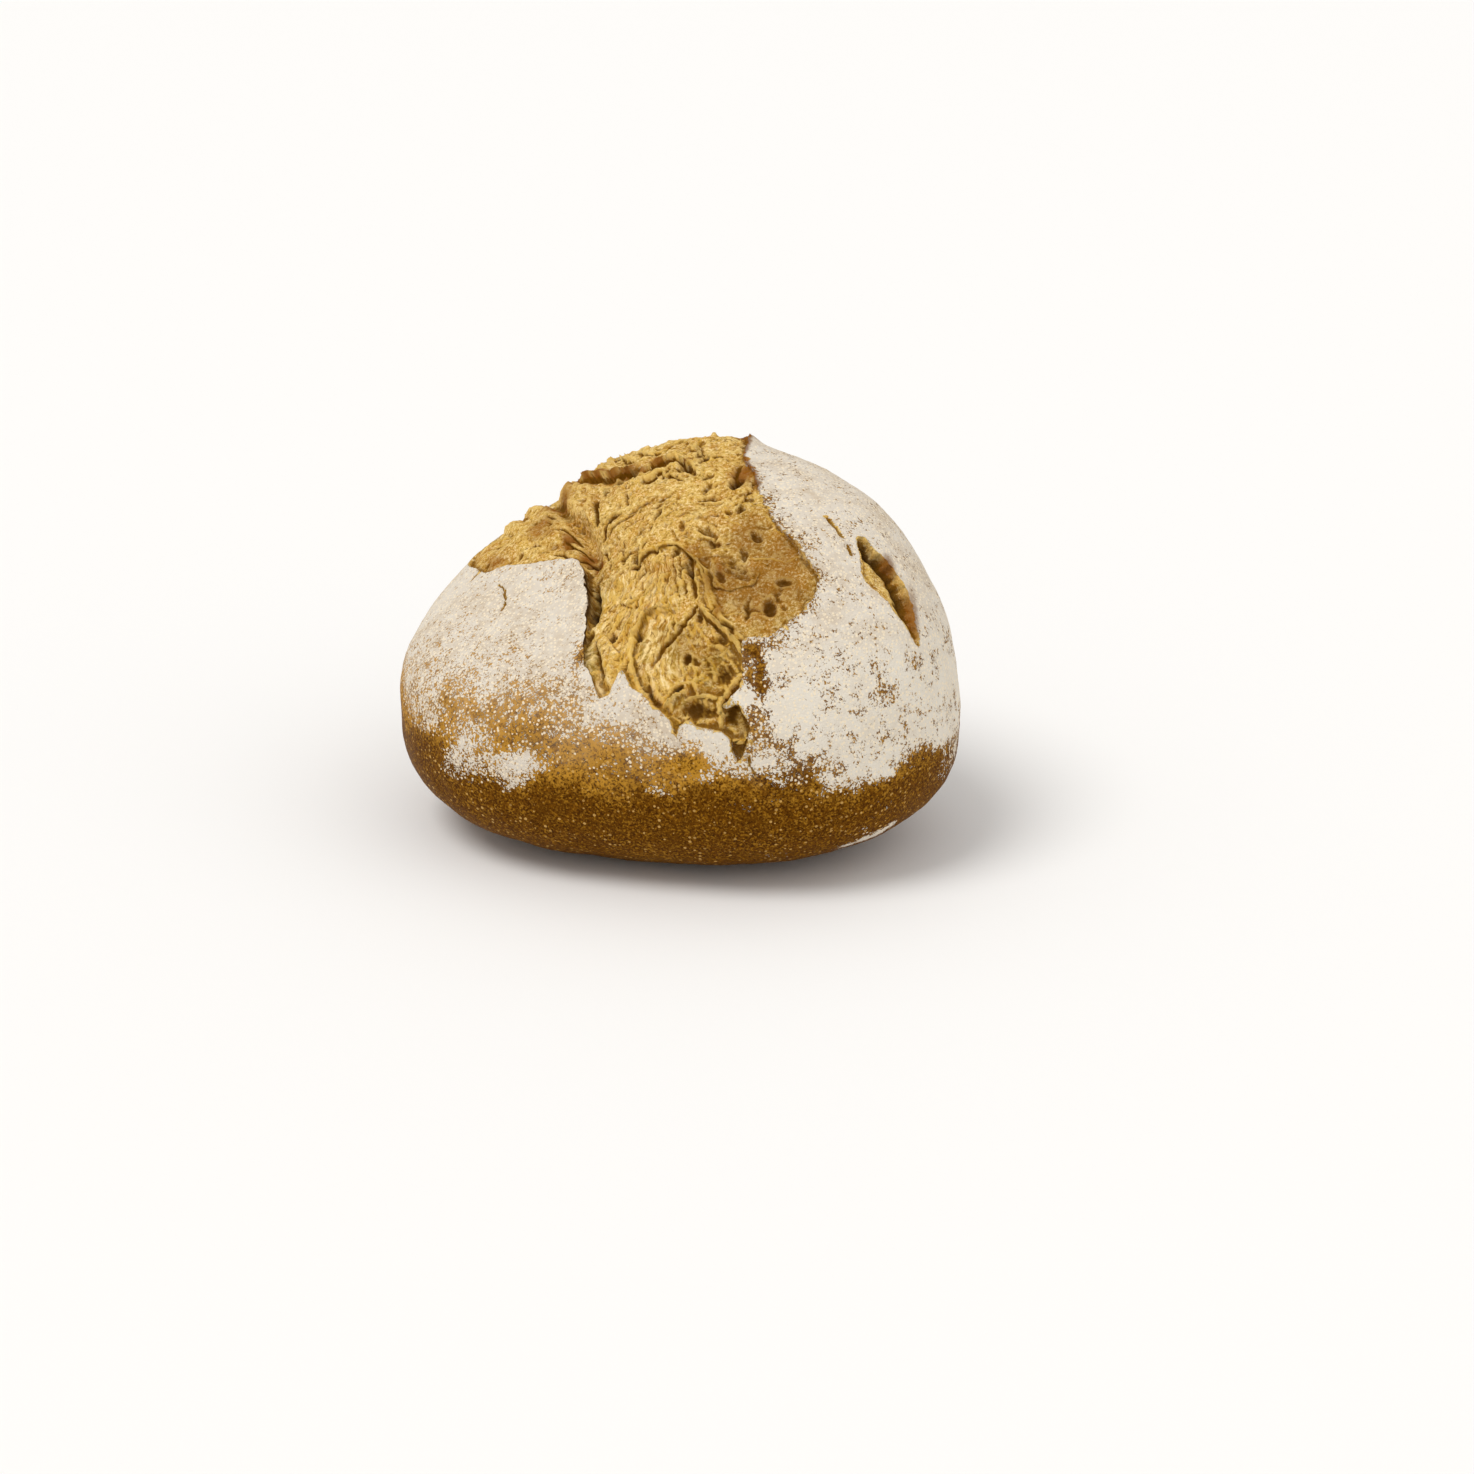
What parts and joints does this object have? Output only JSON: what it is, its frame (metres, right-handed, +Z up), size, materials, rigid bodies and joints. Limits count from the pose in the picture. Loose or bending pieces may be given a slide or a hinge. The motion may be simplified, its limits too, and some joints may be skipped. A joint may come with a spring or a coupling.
{
  "type": "sourdough loaf",
  "caption": "Round free-standing sourdough loaf with a floured crust torn open over its crown, showing stretched golden crumb, and a brown foot.",
  "frame": {"origin": "middle of the loaf's box on the surface that it rests on", "axes": "+Z up, +X along the loaf's longest side, -Y towards the front where the narrow end of the tear runs down"},
  "size_m": [0.1978, 0.1862, 0.1326],
  "materials": {
    "baked_crust": "dry matt baked crust, floured on top, golden torn crumb"
  },
  "bodies": {
    "root": {"loaf": "baked_crust"}
  },
  "joints": []
}
